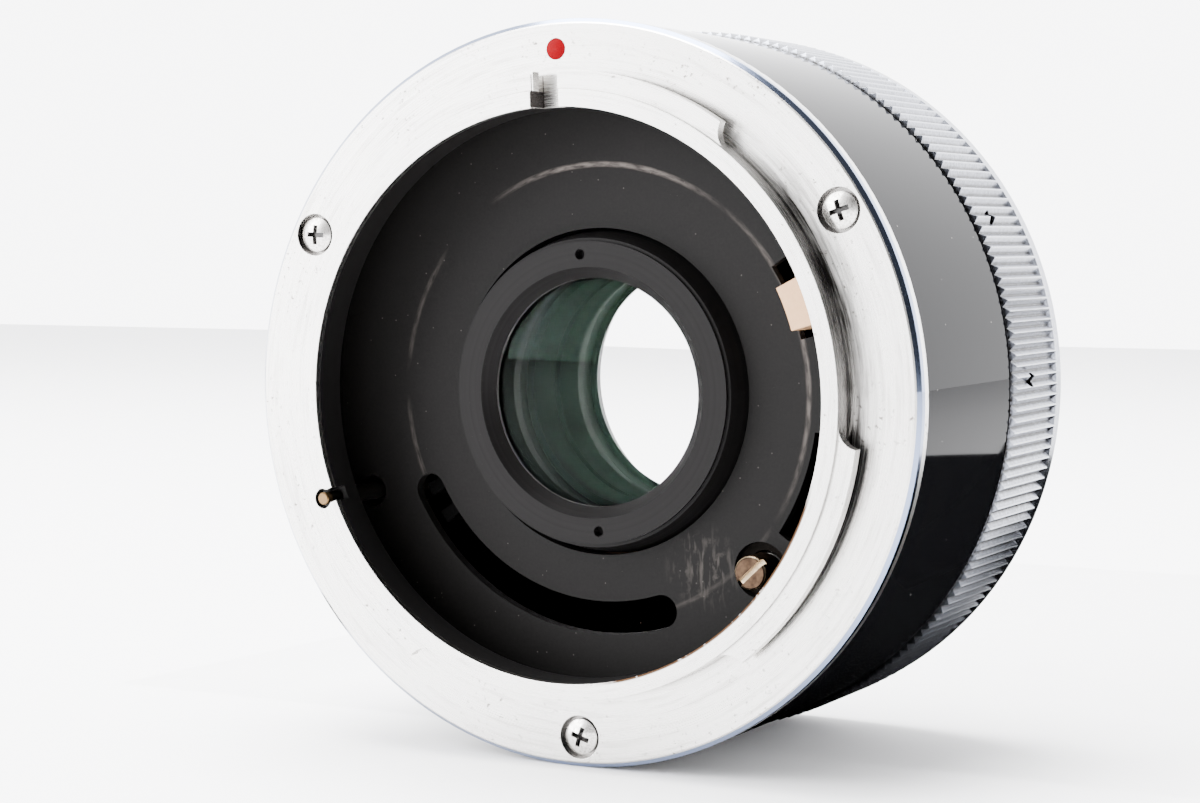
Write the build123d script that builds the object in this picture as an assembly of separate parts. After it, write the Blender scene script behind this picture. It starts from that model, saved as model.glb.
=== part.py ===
import os
from math import asin, cos, degrees, radians, sin

from build123d import *

# Camera teleconverter for a breech-lock lens mount, in millimetres.
# The optical axis is Y. The lens-side mount faces -Y and its seating face is y = 0.
# +Z is up, with the index dot at the top. Angles run clockwise from the top, seen from the lens side.

# Lens-side mount: throat, seating ring, lugs and flange
throat_r = 24.0
seat_ring_wall = 1.4
lug_reach = 1.6
lug_step = 0.25
lug_thickness = 1.0
lug_gap_angles = [(36.0, 99.4), (143.1, 214.5), (268.0, 330.0)]
lug_gap_cutter_r = 1.8
flange_width = 6.0
flange_drop = 2.25
flange_thickness = 1.8
flange_bevel = 0.45
throat_chamfer = 0.3
notch_width = 2.66
notch_lug_width = 2.3
index_dot_r = 0.9
index_dot_inset = 2.5
index_dot_rise = 0.12
index_dot_depth = 0.35
seat_ring_r = throat_r + seat_ring_wall
lug_r = seat_ring_r + lug_reach
barrel_r = seat_ring_r + flange_width
flange_rear_y = flange_drop + flange_thickness
index_circle_r = barrel_r - index_dot_inset

# Barrel with its rear neck and bulkhead
barrel_length = 19.35
barrel_edge_bevel = 0.25
front_wall = 4.0
cavity_wall = 3.0
baffle_ledge_wall = 1.0
baffle_ledge_length = 1.5
shoulder_thickness = 2.0
neck_step = 3.8
neck_wall = 1.9
neck_length = 7.6
bulkhead_thickness = 2.0
fit_gap = 0.05
running_gap = 0.06
front_bore_r = barrel_r - front_wall
neck_r = barrel_r - neck_step
barrel_rear_y = flange_rear_y + barrel_length
neck_rear_y = barrel_rear_y + neck_length
bulkhead_y = neck_rear_y - bulkhead_thickness

# Front baffle and its snap ring
baffle_setback = 3.95
baffle_thickness = 1.0
snap_ring_section = 0.8
snap_ring_width = 1.0
snap_ring_bite = 0.25
fork_slot_width = 2.85
fork_slot_reach = 2.3
fork_slot_angles = (164.4, 244.0)
slot_gap = 0.4
tab_slot_lead_angle = 0.6
tab_slot_trail_angle = 2.1
relief_slot_width = 2.4
relief_slot_angles = (100.0, 126.0)
baffle_y = flange_rear_y + baffle_setback
baffle_rear_y = baffle_y + baffle_thickness

# Walls and gaps from the throat inward: signal tab, lever hubs, lens cell and glass
tab_inset = 1.8
tab_width = 2.45
tab_reach = 2.55
hub_wall = 3.14
cell_wall = 1.8
cell_thread_wall = 0.9
tab_outer_r = throat_r - tab_inset
tab_inner_r = tab_outer_r - tab_width
hub_r = tab_inner_r - tab_reach
hub_bore_r = hub_r - hub_wall
cell_r = hub_bore_r - running_gap
cell_thread_r = cell_r - cell_wall
glass_r = cell_thread_r - cell_thread_wall

# Lens cell and its two retaining rings
cell_nose_wall = 1.0
cell_nose_length = 1.7
cell_shoulder_length = 0.6
cell_seat_depth = 1.3
cell_flange_width = 3.9
cell_flange_thickness = 1.4
cell_tail_length = 1.2
rear_ring_length = 2.6
glass_seat_width = 0.7
cap_lip_width = 0.72
cap_lip_thickness = 0.32
cap_throat_inset = 0.82
cap_cone_width = 0.95
cap_cone_depth = 1.1
cap_relief = 0.2
spanner_hole_r = 0.45
spanner_hole_depth = 0.9
spanner_angle = -2.2
cell_front_y = baffle_y - cell_nose_length
cell_nose_r = cell_thread_r + cell_nose_wall
cell_nose_end_y = baffle_rear_y + cell_shoulder_length
cell_flange_r = cell_r + cell_flange_width
cell_flange_rear_y = neck_rear_y + cell_flange_thickness
cell_rear_y = cell_flange_rear_y + cell_tail_length
cell_screw_circle_r = (cell_r + cell_flange_r) / 2
glass_front_y = cell_front_y + cell_seat_depth
glass_rear_y = cell_rear_y - rear_ring_length
clear_r = glass_r - glass_seat_width
cap_face_y = cell_front_y - cap_lip_thickness
cap_r = cell_thread_r + cap_lip_width
cap_throat_r = clear_r - cap_throat_inset
cap_mouth_r = cap_throat_r + cap_cone_width
spanner_circle_r = (cap_mouth_r + cap_r) / 2

# Glass stack: edge thicknesses, gaps at the edge and heights of the curved faces
outer_glass_edge = 1.8
inner_glass_edge = 1.6
thick_glass_edge = 3.2
front_air_gap = 2.8
middle_gap_share = 0.54
shallow_crown = 0.5
middle_crown = 0.6
deep_crown = 0.8
glass_edges = 2 * (outer_glass_edge + inner_glass_edge + thick_glass_edge)
free_length = glass_rear_y - glass_front_y - glass_edges - front_air_gap
middle_air_gap = free_length * middle_gap_share
rear_air_gap = free_length - middle_air_gap
glass_steps = [
    (0, outer_glass_edge), (front_air_gap, thick_glass_edge), (0, inner_glass_edge),
    (middle_air_gap, inner_glass_edge), (rear_air_gap, thick_glass_edge), (0, outer_glass_edge),
]
glass_crowns = [
    (middle_crown, -shallow_crown), (-middle_crown, -deep_crown), (deep_crown, middle_crown),
    (middle_crown, -middle_crown), (-deep_crown, -middle_crown), (middle_crown, shallow_crown),
]

# Lever carriers that turn on the lens cell, with their clip, spacers and springs
hub_thickness = 2.0
hub_setback = 2.0
hub_pitch = 8.0
axial_gap = 0.1
clip_thickness = 0.6
clip_reach = 1.4
clip_groove = 0.4
clip_opening = 3.8
spacer_wall = 1.14
clip_r = cell_r + clip_reach
spacer_r = hub_bore_r + spacer_wall
signal_hub_y = baffle_rear_y + hub_setback
stopdown_hub_y = signal_hub_y + hub_pitch

# Signal lever: tan tab in front, lever behind
tab_proud = 2.4
tab_angle = 70.2
tab_width_angle = 10.8
tab_travel_angle = 6.0
lever_width = 1.4
lever_inset = 0.15
lever_proud = 9.2
rivet_r = 0.4
rivet_head = 0.3
tab_middle_r = (tab_inner_r + tab_outer_r) / 2
signal_lever_r = (tab_inner_r + lever_inset, tab_inner_r + lever_inset + lever_width)
tab_slot_r = (tab_inner_r - slot_gap, tab_outer_r + slot_gap)
relief_slot_r = (tab_slot_r[1] - relief_slot_width, tab_slot_r[1])
tab_front_y = baffle_y - tab_proud
tab_angles = (tab_angle - tab_width_angle / 2, tab_angle + tab_width_angle / 2)
signal_lever_angles = (tab_angle - tab_width_angle / 4, tab_angle + tab_width_angle / 4)
tab_slot_angles = (
    tab_angles[0] - tab_travel_angle - tab_slot_lead_angle,
    tab_angles[1] + tab_slot_trail_angle,
)

# Stop-down lever: fork in front, lever behind
fork_width = 2.1
fork_base_thickness = 1.5
fork_front_gap = 0.6
fork_angle = 241.0
fork_width_angle = 11.0
fork_prong_angle = 3.2
stopdown_travel_angle = 40.0
stopdown_width_angle = 7.0
lever_slot_angle = 2.4
fork_slot_r = hub_r + fork_slot_reach
fork_r = (fork_slot_r - fork_width / 2, fork_slot_r + fork_width / 2)
stopdown_lever_r = (fork_slot_r - lever_width / 2, fork_slot_r + lever_width / 2)
fork_angles = (fork_angle - fork_width_angle / 2, fork_angle + fork_width_angle / 2)
stopdown_lever_angles = (fork_angle - stopdown_width_angle / 2, fork_angle + stopdown_width_angle / 2)

# Open wire springs behind the carriers
torsion_wire = 0.5
torsion_gap = 0.8
torsion_leg = 1.6
torsion_opening_angle = 14.0
torsion_r = (spacer_r + hub_r) / 2

# Signal plunger with its bush, rod and spring
plunger_angle = 135.8
plunger_head_r = 1.45
plunger_proud = 2.2
plunger_head_length = 2.8
plunger_slot_width = 0.5
plunger_slot_depth = 0.8
plunger_slot_angle = 93.0
plunger_edge = 0.2
plunger_hole_gap = 0.95
rod_r = 0.9
rod_proud = 2.2
rod_tip = 0.3
bush_wall = 1.4
bush_gap = 0.75
bush_length = 5.2
bush_floor = 1.0
bush_pocket_gap = 0.15
spring_wire = 0.25
spring_turns = 4
bush_pocket_r = plunger_head_r + bush_pocket_gap
bush_r = bush_pocket_r + bush_wall
bush_rear_y = baffle_rear_y + bush_length
bush_floor_y = bush_rear_y - bush_floor
plunger_hole_r = plunger_head_r + plunger_hole_gap
plunger_circle_r = hub_r + bush_gap + bush_r
plunger_head_y = baffle_y - plunger_proud
plunger_head_end_y = plunger_head_y + plunger_head_length

# Lens lock pin with its cup and spring
pin_angle = -110.2
pin_tip_r = 0.55
pin_shaft_r = 0.8
pin_recess = 0.1
pin_step_depth = 2.4
pin_hole_gap = 0.1
pin_inset = 0.1
pin_neck_width = 1.2
pin_neck_depth = 2.0
pin_baffle_gap = 0.62
pin_collar_r = 1.28
pin_collar_setback = 0.6
pin_collar_length = 1.2
pin_cup_gap = 0.07
pin_cup_wall = 0.4
pin_cup_length = 7.0
pin_cup_floor = 0.6
pin_hole_r = pin_shaft_r + pin_hole_gap
pin_circle_r = seat_ring_r - pin_inset
pin_baffle_hole_r = pin_shaft_r + pin_baffle_gap
pin_cup_bore_r = pin_collar_r + pin_cup_gap
pin_cup_r = pin_cup_bore_r + pin_cup_wall
pin_collar_y = baffle_rear_y + pin_collar_setback
pin_collar_end_y = pin_collar_y + pin_collar_length
pin_cup_end_y = baffle_rear_y + pin_cup_length

# Screws that hold the lens-side mount
screw_angles = [-60.0, 60.0, 180.0]
screw_hole_r = 1.85
screw_head_r = 1.5
screw_head_height = 0.7
screw_dome = 0.35
screw_shank_r = 0.85
screw_length = 3.6
screw_recess_depth = 1.0
screw_edge_margin = 0.25
cross_width = 0.42
cross_length = 1.7
cross_depth = 0.75
cross_angles = [5.0, -16.0, 20.0]
screw_circle_r = barrel_r - flange_bevel - screw_hole_r - screw_edge_margin
screw_seat_y = flange_drop + screw_recess_depth

# Knurled breech ring, its guide screws and its index dot
ring_gap = 0.25
ridge_count = 208
ridge_depth = 0.45
ridge_chamfer = 0.5
ridge_runout = 0.8
rim_height = 0.35
rim_band = 1.6
rim_overhang = 5.4
rim_fillet = 0.35
skirt_wall = 2.45
web_end_gap = 0.2
ring_turn_angle = 60.0
ring_screw_setback = 4.6
ring_screw_r = 0.65
ring_screw_head_sink = 0.5
ring_screw_bite = 0.6
ring_screw_slot = 0.25
ring_screw_slot_angle = 30.0
ring_screw_angles = [63.9, 90.6, 243.9]
ring_groove_angle = 3.5
ridge_root_r = barrel_r
ring_front_y = barrel_rear_y + ring_gap
ring_bore_r = neck_r + running_gap
rim_rear_y = neck_rear_y + rim_overhang
rim_r = ridge_root_r + rim_height
ridge_crest_r = ridge_root_r + ridge_depth
ridge_rear_y = rim_rear_y - rim_band
skirt_bore_r = rim_r - skirt_wall
ring_screw_y = barrel_rear_y + ring_screw_setback
rear_dot_circle_r = (skirt_bore_r + rim_r) / 2

# Camera-side seat, spigot and flange, with its screws, pin and baffle
rear_seat_height = 3.4
rear_flange_thickness = 1.4
rear_flange_gap = 0.7
spigot_gap = 0.25
spigot_wall = 1.35
spigot_length = 3.2
spigot_chamfer = 0.4
rear_ledge_wall = 0.3
rear_baffle_setback = 0.6
rear_baffle_thickness = 0.8
positioning_pin_r = 0.65
positioning_pin_proud = 1.0
positioning_pin_depth = 1.2
small_screw_head_r = 1.0
small_screw_head_height = 0.6
small_screw_shank_r = 0.6
small_screw_length = 2.6
small_screw_slot = 0.3
small_screw_slot_angle = 35.0
small_screw_margin = 0.1
cell_screw_angles = [0.0, 120.0, 240.0]
rear_screw_angles = [30.0, 120.0, 210.0, 300.0]
rear_seat_y = neck_rear_y + rear_seat_height
rear_flange_y = neck_rear_y + rear_flange_thickness
rear_flange_r = skirt_bore_r - rear_flange_gap
rear_screw_circle_r = seat_ring_r + small_screw_head_r + small_screw_margin
rear_baffle_y = rear_flange_y + rear_baffle_setback
rear_screw_seat_y = rear_flange_y - small_screw_head_height
spigot_r = throat_r - spigot_gap
spigot_rear_y = rear_seat_y + spigot_length
spigot_bore_r = spigot_r - spigot_wall
key_pin_r = seat_ring_r + positioning_pin_r + fit_gap
lever_rear_y = rear_seat_y + lever_proud
rod_rear_y = rear_seat_y + rod_proud

# Claws inside the breech ring
claw_tip_gap = 0.25
claw_front_gap = 0.6
claw_ring_wall = 2.2
claw_thickness = 0.65
claw_angles = [(40.0, 95.0), (147.5, 210.0), (272.0, 326.0)]
claw_tip_r = seat_ring_r + claw_tip_gap
claw_base_r = skirt_bore_r - claw_ring_wall
claw_front_y = rear_flange_y + claw_front_gap
claw_rear_y = rim_rear_y - running_gap

overrun = 1.0
out = "parts"


def polar_plane(radius, angle, y):
    """Plane square to the optical axis, with its local X pointing outward."""
    a = radians(angle)
    return Plane(
        origin=(radius * sin(a), y, radius * cos(a)),
        x_dir=(sin(a), 0, cos(a)),
        z_dir=(0, 1, 0),
    )


def rod(radius, angle, y0, y1, rod_radius):
    """Cylinder along the optical axis, at a polar place."""
    bar = Cylinder(rod_radius, y1 - y0, align=(Align.CENTER, Align.CENTER, Align.MIN))
    return polar_plane(radius, angle, y0) * bar


def block(radius, angle, y0, y1, depth, width, turn=0):
    """Box along the optical axis: depth is radial and width is tangential."""
    bar = Box(depth, width, y1 - y0, align=(Align.CENTER, Align.CENTER, Align.MIN))
    return polar_plane(radius, angle, y0) * Rot(0, 0, turn) * bar


def turned(*points):
    """Solid turned about the optical axis from an outline of radius and y."""
    return revolve(make_face(Polyline(*points, close=True)), Axis.Y)


def tube(r_in, r_out, y0, y1):
    return turned((r_in, y0), (r_out, y0), (r_out, y1), (r_in, y1))


def sector(r_in, r_out, y0, y1, a0, a1):
    """Part of a tube, from angle a0 to angle a1."""
    face = make_face(Polyline((r_in, y0), (r_out, y0), (r_out, y1), (r_in, y1), close=True))
    return Rot(0, a0 - 90, 0) * revolve(face, Axis.Y, revolution_arc=a1 - a0)


def round_slot(r_mid, width, y0, y1, a0, a1):
    """Arc slot with round ends whose centres are at angles a0 and a1."""
    half = width / 2
    slot = sector(r_mid - half, r_mid + half, y0, y1, a0, a1)
    return slot + rod(r_mid, a0, y0, y1, half) + rod(r_mid, a1, y0, y1, half)


def lever_slots(y0, y1):
    """Arc slots for both rear levers over their whole travel."""
    s0, s1 = signal_lever_angles
    d0, d1 = stopdown_lever_angles
    m = slot_gap
    signal = sector(
        signal_lever_r[0] - m, signal_lever_r[1] + m, y0, y1,
        s0 - tab_travel_angle - lever_slot_angle, s1 + lever_slot_angle)
    stopdown = sector(
        stopdown_lever_r[0] - m, stopdown_lever_r[1] + m, y0, y1,
        d0 - stopdown_travel_angle - lever_slot_angle, d1 + lever_slot_angle)
    return signal + stopdown


def lug_gap(a0, a1):
    """Milled gap between two lugs, whose ends keep the round of the cutter."""
    path_r = seat_ring_r + lug_gap_cutter_r
    turn = degrees(asin(lug_gap_cutter_r / path_r))
    y0, y1 = -overrun, flange_drop
    gap = sector(seat_ring_r, lug_r + overrun, y0, y1, a0 + turn, a1 - turn)
    gap += rod(path_r, a0 + turn, y0, y1, lug_gap_cutter_r)
    return gap + rod(path_r, a1 - turn, y0, y1, lug_gap_cutter_r)


def front_mount():
    bevel_r = barrel_r - flange_bevel
    body = turned(
        (throat_r, 0), (seat_ring_r, 0), (seat_ring_r, flange_drop), (bevel_r, flange_drop),
        (barrel_r, flange_drop + flange_bevel), (barrel_r, flange_rear_y),
        (throat_r + throat_chamfer, flange_rear_y), (throat_r, flange_rear_y - throat_chamfer))
    lugs = tube(seat_ring_r, lug_r, lug_step, lug_step + lug_thickness)
    for a0, a1 in lug_gap_angles:
        lugs -= lug_gap(a0, a1)
    body += lugs
    body -= block(throat_r, 0, -overrun, flange_drop, 2 * seat_ring_wall, notch_width)
    body -= block(lug_r, 0, -overrun, flange_drop, 2 * lug_reach, notch_lug_width)
    for a in screw_angles:
        body -= rod(screw_circle_r, a, 0, screw_seat_y, screw_hole_r)
        body -= rod(screw_circle_r, a, 0, flange_rear_y + overrun, screw_shank_r)
    body -= rod(pin_circle_r, pin_angle, -overrun, flange_rear_y + overrun, pin_hole_r)
    body -= block(throat_r, pin_angle, -overrun, pin_neck_depth, 2 * seat_ring_wall, pin_neck_width)
    body -= rod(index_circle_r, 0, flange_drop - overrun, flange_drop + index_dot_depth, index_dot_r)
    return body


def dome_arc(radius, edge_y, rise):
    """Arc of a ball centred on the axis, from its crown on the axis to its edge."""
    ball_r = (radius ** 2 + rise ** 2) / (2 * rise)
    half_turn = asin(radius / abs(ball_r)) / 2
    middle_y = edge_y - rise + ball_r * (1 - cos(half_turn))
    return ThreePointArc((0, edge_y - rise), (abs(ball_r) * sin(half_turn), middle_y), (radius, edge_y))


def index_dot():
    rear_y = flange_drop + index_dot_depth
    side = Polyline((index_dot_r, flange_drop), (index_dot_r, rear_y), (0, rear_y),
                    (0, flange_drop - index_dot_rise))
    dot = revolve(make_face([dome_arc(index_dot_r, flange_drop, index_dot_rise), side]), Axis.Y)
    return Pos(0, 0, index_circle_r) * dot


def cross_cut(radius, angle, y0, turn):
    """Cross recess of a screw head that faces the lens side."""
    y1 = y0 + cross_depth
    cut = block(radius, angle, y0 - overrun, y1, cross_length, cross_width, turn)
    return cut + block(radius, angle, y0 - overrun, y1, cross_width, cross_length, turn)


def front_mount_screw(angle, cross_angle):
    rim_y = screw_seat_y - screw_head_height
    top_y = rim_y - screw_dome
    end_y = screw_seat_y + screw_length
    side = Polyline((screw_head_r, rim_y), (screw_head_r, screw_seat_y), (screw_shank_r, screw_seat_y),
                    (screw_shank_r, end_y), (0, end_y), (0, top_y))
    screw = revolve(make_face([dome_arc(screw_head_r, rim_y, screw_dome), side]), Axis.Y)
    screw = polar_plane(screw_circle_r, angle, 0) * Rot(90, 0, 0) * screw
    return screw - cross_cut(screw_circle_r, angle, top_y, cross_angle - angle)


def front_mount_screws():
    return [front_mount_screw(a, cross) for a, cross in zip(screw_angles, cross_angles)]


def barrel():
    cavity_r = barrel_r - cavity_wall
    ledge_y = baffle_rear_y + baffle_ledge_length
    ledge_r = front_bore_r - baffle_ledge_wall
    shoulder_y = barrel_rear_y - shoulder_thickness
    neck_bore_r = neck_r - neck_wall
    body = turned(
        (front_bore_r, flange_rear_y), (barrel_r, flange_rear_y),
        (barrel_r, barrel_rear_y - barrel_edge_bevel), (barrel_r - barrel_edge_bevel, barrel_rear_y),
        (neck_r, barrel_rear_y), (neck_r, neck_rear_y),
        (cell_r + fit_gap, neck_rear_y), (cell_r + fit_gap, bulkhead_y),
        (neck_bore_r, bulkhead_y), (neck_bore_r, shoulder_y), (cavity_r, shoulder_y),
        (cavity_r, ledge_y), (ledge_r, ledge_y), (ledge_r, baffle_rear_y), (front_bore_r, baffle_rear_y))
    body -= tube(front_bore_r - overrun, front_bore_r + snap_ring_bite, baffle_y - snap_ring_section, baffle_y)
    for a in screw_angles:
        body -= rod(screw_circle_r, a, flange_rear_y, screw_seat_y + screw_length, screw_shank_r)
    body -= rod(pin_circle_r, pin_angle, flange_rear_y, baffle_rear_y + pin_cup_length + overrun,
                pin_cup_r + fit_gap)
    body -= rod(plunger_circle_r, plunger_angle, bulkhead_y - overrun, neck_rear_y + overrun,
                rod_r + running_gap)
    body -= lever_slots(bulkhead_y - overrun, neck_rear_y + overrun)
    for a in cell_screw_angles:
        body -= rod(cell_screw_circle_r, a, bulkhead_y, neck_rear_y + overrun, small_screw_shank_r)
    for a in rear_screw_angles:
        body -= rod(rear_screw_circle_r, a, neck_rear_y - small_screw_length, neck_rear_y + overrun,
                    small_screw_shank_r)
    y0 = ring_screw_y - ring_screw_r - running_gap
    y1 = ring_screw_y + ring_screw_r + running_gap
    bite_r = neck_r - ring_screw_bite - running_gap
    first, second, third = ring_screw_angles
    for a0, a1 in ((first, second), (third, third)):
        body -= sector(bite_r, neck_r + overrun, y0, y1,
                       a0 - ring_groove_angle, a1 + ring_turn_angle + ring_groove_angle)
    return body


def front_baffle():
    plate = tube(cell_r + fit_gap, front_bore_r - fit_gap, baffle_y, baffle_rear_y)
    y0, y1 = baffle_y - overrun, baffle_rear_y + overrun
    plate -= round_slot(fork_slot_r, fork_slot_width, y0, y1, *fork_slot_angles)
    plate -= sector(*tab_slot_r, y0, y1, *tab_slot_angles)
    plate -= sector(*relief_slot_r, y0, y1, *relief_slot_angles)
    plate -= rod(plunger_circle_r, plunger_angle, y0, y1, plunger_hole_r)
    plate -= rod(pin_circle_r, pin_angle, y0, y1, pin_baffle_hole_r)
    return plate


def baffle_snap_ring():
    r_out = front_bore_r + snap_ring_bite
    ring = tube(r_out - snap_ring_width, r_out, baffle_y - snap_ring_section, baffle_y)
    return ring - block(front_bore_r, 0, baffle_y - snap_ring_section - overrun, baffle_y + overrun,
                        3 * snap_ring_width, 2 * snap_ring_width)


def lens_cell():
    bore_r = glass_r + fit_gap
    rear_thread_y = lens_edges()[-1][1]
    body = turned(
        (cell_thread_r, cell_front_y), (cell_nose_r, cell_front_y), (cell_r, cell_nose_end_y),
        (cell_r, neck_rear_y), (cell_flange_r, neck_rear_y), (cell_flange_r, cell_flange_rear_y),
        (cell_r, cell_flange_rear_y), (cell_r, cell_rear_y), (cell_thread_r, cell_rear_y),
        (cell_thread_r, rear_thread_y), (bore_r, rear_thread_y), (bore_r, glass_front_y),
        (cell_thread_r, glass_front_y))
    groove_y = signal_hub_y - axial_gap
    body -= tube(cell_r - clip_groove, cell_r + overrun, groove_y - clip_thickness, groove_y)
    for a in cell_screw_angles:
        body -= rod(cell_screw_circle_r, a, neck_rear_y - overrun, cell_flange_rear_y + overrun,
                    small_screw_shank_r)
    return body


def small_screw(radius, angle, seat_y, length):
    """Slotted screw that faces the camera side."""
    top_y = seat_y + small_screw_head_height
    screw = rod(radius, angle, seat_y, top_y, small_screw_head_r)
    screw += rod(radius, angle, seat_y - length, seat_y, small_screw_shank_r)
    return screw - block(radius, angle, top_y - small_screw_head_height / 2, top_y + overrun,
                         3 * small_screw_head_r, small_screw_slot, turn=small_screw_slot_angle)


def cell_screws():
    length = cell_flange_thickness + bulkhead_thickness
    return [small_screw(cell_screw_circle_r, a, cell_flange_rear_y, length) for a in cell_screw_angles]


def front_retaining_ring():
    ring = turned(
        (cap_mouth_r, cap_face_y), (cap_r, cap_face_y), (cap_r, cell_front_y),
        (cell_thread_r, cell_front_y), (cell_thread_r, glass_front_y), (clear_r, glass_front_y),
        (cap_throat_r, glass_front_y - cap_relief), (cap_throat_r, cap_face_y + cap_cone_depth))
    for a in (spanner_angle, spanner_angle + 180):
        ring -= rod(spanner_circle_r, a, cap_face_y - overrun, cap_face_y + spanner_hole_depth, spanner_hole_r)
    return ring


def rear_retaining_ring():
    seat_y = lens_edges()[-1][1]
    ring = turned((clear_r, seat_y), (cell_thread_r, seat_y), (cell_thread_r, cell_rear_y),
                  (clear_r + cap_cone_depth, cell_rear_y))
    for a in (0, 180):
        ring -= block(cell_thread_r, a, cell_rear_y - spanner_hole_depth, cell_rear_y + overrun,
                      2 * cell_thread_wall, 2 * spanner_hole_r)
    return ring


def lens_edges():
    """Front and rear edge of each glass element, in order from the lens side."""
    edges = []
    y = glass_front_y
    for gap, thickness in glass_steps:
        edges.append((y + gap, y + gap + thickness))
        y += gap + thickness
    return edges


def lens(index):
    """Glass element with a flat seat round each curved face; a negative bulge is hollow."""
    front, rear = lens_edges()[index]
    bulge_front, bulge_rear = glass_crowns[index]
    rim = Polyline((clear_r, front), (glass_r, front), (glass_r, rear), (clear_r, rear))
    axis = Line((0, front - bulge_front), (0, rear + bulge_rear))
    outline = [dome_arc(clear_r, front, bulge_front), rim, dome_arc(clear_r, rear, -bulge_rear), axis]
    return revolve(make_face(outline), Axis.Y)


def lens_spacer(before, after):
    edges = lens_edges()
    return tube(clear_r, glass_r, edges[before][1], edges[after][0])


def carrier_clip():
    y1 = signal_hub_y - axial_gap
    ring = tube(cell_r - clip_groove, clip_r, y1 - clip_thickness, y1)
    return ring - block(cell_r, 180, y1 - clip_thickness - overrun, y1 + overrun, 4 * clip_reach, clip_opening)


def carrier_spacer(y0, y1):
    return tube(hub_bore_r, spacer_r, y0, y1)


def hub(y0):
    return tube(hub_bore_r, hub_r, y0, y0 + hub_thickness)


def signal_carrier():
    y0, y1 = signal_hub_y, signal_hub_y + hub_thickness
    body = hub(y0) + sector(hub_r - overrun, tab_outer_r, y0, y1, *tab_angles)
    for a in rivet_angles():
        body -= rod(tab_middle_r, a, y0 - overrun, y1 + overrun, rivet_r)
    return body


def rivet_angles():
    inset = (signal_lever_angles[0] - tab_angles[0]) / 2
    return tab_angles[0] + inset, tab_angles[1] - inset


def signal_tab():
    return sector(tab_inner_r, tab_outer_r, tab_front_y, signal_hub_y, *tab_angles)


def signal_rear_lever():
    return sector(*signal_lever_r, signal_hub_y + hub_thickness, lever_rear_y, *signal_lever_angles)


def signal_rivets():
    y0, y1 = signal_hub_y, signal_hub_y + hub_thickness
    return [rod(tab_middle_r, a, y0, y1 + rivet_head, rivet_r) for a in rivet_angles()]


def stopdown_carrier():
    y0, y1 = stopdown_hub_y, stopdown_hub_y + hub_thickness
    return hub(y0) + sector(hub_r - overrun, fork_r[1], y0, y1, *fork_angles)


def stopdown_fork():
    base_y = stopdown_hub_y - fork_base_thickness
    fork = sector(*fork_r, base_y, stopdown_hub_y, *fork_angles)
    a0, a1 = fork_angles
    front_y = baffle_rear_y + fork_front_gap
    fork += sector(*fork_r, front_y, base_y, a0, a0 + fork_prong_angle)
    fork += sector(*fork_r, front_y, base_y, a1 - fork_prong_angle, a1)
    return fork


def stopdown_rear_lever():
    return sector(*stopdown_lever_r, stopdown_hub_y + hub_thickness, lever_rear_y, *stopdown_lever_angles)


def torsion_spring(y0):
    """Open ring of spring wire, bent rearward at both sides of its opening."""
    wire_r = torsion_wire / 2
    middle_y = y0 + wire_r
    profile = Pos(torsion_r, middle_y, 0) * Circle(wire_r)
    a0, a1 = torsion_opening_angle, 360 - torsion_opening_angle
    spring = Rot(0, a0 - 90, 0) * revolve(profile, Axis.Y, revolution_arc=a1 - a0)
    for a in (a0, a1):
        spring += rod(torsion_r, a, middle_y, middle_y + torsion_leg, wire_r)
        spring += polar_plane(torsion_r, a, middle_y) * Sphere(wire_r)
    return spring


def coil_spring(radius, angle, y0, y1, coil_r):
    pitch = (y1 - y0) / spring_turns
    path = Helix(pitch, y1 - y0, coil_r)
    profile = Plane(origin=path @ 0, z_dir=path % 0) * Circle(spring_wire / 2)
    return polar_plane(radius, angle, y0) * sweep(profile, path=path)


def signal_screw():
    """Slotted head that the lens pushes, threaded into the rod behind it."""
    head = rod(plunger_circle_r, plunger_angle, plunger_head_y, plunger_head_end_y, plunger_head_r)
    head = chamfer(head.faces().sort_by(Axis.Y)[0].edges(), plunger_edge)
    head -= block(plunger_circle_r, plunger_angle, plunger_head_y - overrun,
                  plunger_head_y + plunger_slot_depth, 3 * plunger_head_r, plunger_slot_width,
                  turn=plunger_slot_angle)
    return head


def signal_rod():
    bar = rod(plunger_circle_r, plunger_angle, plunger_head_end_y, rod_rear_y, rod_r)
    return fillet(bar.faces().sort_by(Axis.Y)[-1].edges(), rod_tip)


def plunger_bush():
    body = rod(plunger_circle_r, plunger_angle, baffle_rear_y, bush_rear_y, bush_r)
    body -= rod(plunger_circle_r, plunger_angle, baffle_rear_y - overrun, bush_floor_y, bush_pocket_r)
    return body - rod(plunger_circle_r, plunger_angle, baffle_rear_y, bush_rear_y + overrun,
                      rod_r + running_gap)


def plunger_spring():
    return coil_spring(plunger_circle_r, plunger_angle, plunger_head_end_y + spring_wire,
                       bush_floor_y - spring_wire, (rod_r + bush_pocket_r) / 2)


def lock_pin():
    tip = rod(pin_circle_r, pin_angle, pin_recess, pin_step_depth, pin_tip_r)
    tip = chamfer(tip.faces().sort_by(Axis.Y)[0].edges(), plunger_edge / 2)
    body = tip + rod(pin_circle_r, pin_angle, pin_step_depth, pin_collar_end_y, pin_shaft_r)
    return body + rod(pin_circle_r, pin_angle, pin_collar_y, pin_collar_end_y, pin_collar_r)


def lock_pin_cup():
    body = rod(pin_circle_r, pin_angle, baffle_rear_y, pin_cup_end_y, pin_cup_r)
    return body - rod(pin_circle_r, pin_angle, baffle_rear_y - overrun, pin_cup_end_y - pin_cup_floor,
                      pin_cup_bore_r)


def lock_pin_spring():
    return coil_spring(pin_circle_r, pin_angle, pin_collar_end_y + spring_wire,
                       pin_cup_end_y - pin_cup_floor - spring_wire, (pin_shaft_r + pin_cup_bore_r) / 2)


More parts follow.
